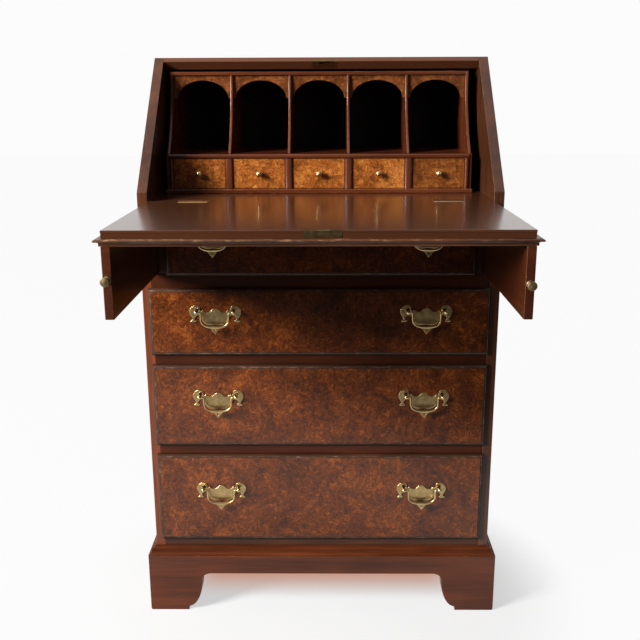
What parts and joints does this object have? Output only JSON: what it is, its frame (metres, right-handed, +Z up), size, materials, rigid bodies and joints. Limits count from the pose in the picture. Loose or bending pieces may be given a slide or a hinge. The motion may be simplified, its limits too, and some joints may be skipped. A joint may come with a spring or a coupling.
{
  "type": "slant-front writing desk",
  "caption": "Slant-front writing bureau: a hinged fall rests open on pull-out lopers over graduated drawers, with a fitted gallery of pigeonholes and small drawers, on a bracket-foot plinth.",
  "frame": {"origin": "on the floor, under the middle of the desk's bounding box with the fall and lopers out", "axes": "+Z up; +X to the right seen from the front; the front, with fall and drawers, faces -Y"},
  "size_m": [0.638, 0.76, 0.998],
  "materials": {
    "mahogany": "french polished, red-brown mahogany with fine straight grain",
    "burr_walnut": "french polished dark burr walnut veneer with a narrow crossbanded border",
    "light_burr": "french polished bright orange-brown burr veneer",
    "dark_wood": "dark stained softwood, matt",
    "brass": "antiqued brass, worn bright on the edges"
  },
  "bodies": {
    "case": {"side_left": "mahogany", "side_right": "mahogany", "top_board": "mahogany", "back_board": "dark_wood", "bottom_board": "mahogany", "drawer_rail_lower": "mahogany", "drawer_rail_middle": "mahogany", "drawer_rail_upper": "mahogany", "writing_bed": "mahogany", "loper_divider_left": "mahogany", "loper_divider_right": "mahogany", "plinth": "mahogany", "bed_leaf_left": "brass", "bed_leaf_right": "brass", "gallery_case": "mahogany", "gallery_shelf": "mahogany", "pigeonhole_divider_1": "mahogany", "pigeonhole_divider_2": "mahogany", "pigeonhole_divider_3": "mahogany", "pigeonhole_divider_4": "mahogany", "gallery_valance": "light_burr"},
    "fall": {"fall_board": "mahogany", "fall_leaf_left": "brass", "fall_leaf_right": "brass", "lock_plate": "brass"},
    "lock_bolt": {"lock_bolt": "brass"},
    "loper_left": {"loper_left": "mahogany", "loper_knob_left": "brass"},
    "loper_right": {"loper_right": "mahogany", "loper_knob_right": "brass"},
    "drawer_top": {"drawer_top": "burr_walnut", "drawer_top_left_plate": "brass", "drawer_top_right_plate": "brass"},
    "drawer_upper": {"drawer_upper": "burr_walnut", "drawer_upper_left_plate": "brass", "drawer_upper_right_plate": "brass"},
    "drawer_lower": {"drawer_lower": "burr_walnut", "drawer_lower_left_plate": "brass", "drawer_lower_right_plate": "brass"},
    "drawer_bottom": {"drawer_bottom": "burr_walnut", "drawer_bottom_left_plate": "brass", "drawer_bottom_right_plate": "brass"},
    "drawer_top_left_bail": {"drawer_top_left_bail": "brass"},
    "drawer_top_right_bail": {"drawer_top_right_bail": "brass"},
    "drawer_upper_left_bail": {"drawer_upper_left_bail": "brass"},
    "drawer_upper_right_bail": {"drawer_upper_right_bail": "brass"},
    "drawer_lower_left_bail": {"drawer_lower_left_bail": "brass"},
    "drawer_lower_right_bail": {"drawer_lower_right_bail": "brass"},
    "drawer_bottom_left_bail": {"drawer_bottom_left_bail": "brass"},
    "drawer_bottom_right_bail": {"drawer_bottom_right_bail": "brass"},
    "small_drawer_1": {"small_drawer_1": "light_burr", "small_knob_1": "brass"},
    "small_drawer_2": {"small_drawer_2": "light_burr", "small_knob_2": "brass"},
    "small_drawer_3": {"small_drawer_3": "light_burr", "small_knob_3": "brass"},
    "small_drawer_4": {"small_drawer_4": "light_burr", "small_knob_4": "brass"},
    "small_drawer_5": {"small_drawer_5": "light_burr", "small_knob_5": "brass"}
  },
  "joints": [
    {"name": "fall_hinge", "type": "hinge", "parent": "case", "child": "fall", "pos_m": [0, -0.05202, 0.7614], "axis": [1, 0, 0], "range_deg": [-133.9, 0]},
    {"name": "lock_bolt_slide", "type": "slide", "parent": "fall", "child": "lock_bolt", "axis": [0, -1, 0], "range_m": [0, 0.006]},
    {"name": "loper_left_slide", "type": "slide", "parent": "case", "child": "loper_left", "axis": [0, -1, 0], "range_m": [-0.311, 0]},
    {"name": "loper_right_slide", "type": "slide", "parent": "case", "child": "loper_right", "axis": [0, -1, 0], "range_m": [-0.311, 0]},
    {"name": "drawer_top_slide", "type": "slide", "parent": "case", "child": "drawer_top", "axis": [0, -1, 0], "range_m": [0, 0.28]},
    {"name": "drawer_upper_slide", "type": "slide", "parent": "case", "child": "drawer_upper", "axis": [0, -1, 0], "range_m": [0, 0.3]},
    {"name": "drawer_lower_slide", "type": "slide", "parent": "case", "child": "drawer_lower", "axis": [0, -1, 0], "range_m": [0, 0.3]},
    {"name": "drawer_bottom_slide", "type": "slide", "parent": "case", "child": "drawer_bottom", "axis": [0, -1, 0], "range_m": [0, 0.3]},
    {"name": "drawer_top_left_bail_hinge", "type": "hinge", "parent": "drawer_top", "child": "drawer_top_left_bail", "pos_m": [-0.18, -0.07182, 0.70845], "axis": [-1, 0, 0], "range_deg": [0, 90]},
    {"name": "drawer_top_right_bail_hinge", "type": "hinge", "parent": "drawer_top", "child": "drawer_top_right_bail", "pos_m": [0.18, -0.07182, 0.70845], "axis": [-1, 0, 0], "range_deg": [0, 90]},
    {"name": "drawer_upper_left_bail_hinge", "type": "hinge", "parent": "drawer_upper", "child": "drawer_upper_left_bail", "pos_m": [-0.18, -0.07182, 0.57575], "axis": [-1, 0, 0], "range_deg": [0, 90]},
    {"name": "drawer_upper_right_bail_hinge", "type": "hinge", "parent": "drawer_upper", "child": "drawer_upper_right_bail", "pos_m": [0.18, -0.07182, 0.57575], "axis": [-1, 0, 0], "range_deg": [0, 90]},
    {"name": "drawer_lower_left_bail_hinge", "type": "hinge", "parent": "drawer_lower", "child": "drawer_lower_left_bail", "pos_m": [-0.18, -0.07182, 0.4235], "axis": [-1, 0, 0], "range_deg": [0, 90]},
    {"name": "drawer_lower_right_bail_hinge", "type": "hinge", "parent": "drawer_lower", "child": "drawer_lower_right_bail", "pos_m": [0.18, -0.07182, 0.4235], "axis": [-1, 0, 0], "range_deg": [0, 90]},
    {"name": "drawer_bottom_left_bail_hinge", "type": "hinge", "parent": "drawer_bottom", "child": "drawer_bottom_left_bail", "pos_m": [-0.18, -0.07182, 0.247], "axis": [-1, 0, 0], "range_deg": [0, 90]},
    {"name": "drawer_bottom_right_bail_hinge", "type": "hinge", "parent": "drawer_bottom", "child": "drawer_bottom_right_bail", "pos_m": [0.18, -0.07182, 0.247], "axis": [-1, 0, 0], "range_deg": [0, 90]},
    {"name": "small_drawer_1_slide", "type": "slide", "parent": "case", "child": "small_drawer_1", "axis": [0, -1, 0], "range_m": [0, 0.14]},
    {"name": "small_drawer_2_slide", "type": "slide", "parent": "case", "child": "small_drawer_2", "axis": [0, -1, 0], "range_m": [0, 0.14]},
    {"name": "small_drawer_3_slide", "type": "slide", "parent": "case", "child": "small_drawer_3", "axis": [0, -1, 0], "range_m": [0, 0.14]},
    {"name": "small_drawer_4_slide", "type": "slide", "parent": "case", "child": "small_drawer_4", "axis": [0, -1, 0], "range_m": [0, 0.14]},
    {"name": "small_drawer_5_slide", "type": "slide", "parent": "case", "child": "small_drawer_5", "axis": [0, -1, 0], "range_m": [0, 0.14]}
  ]
}
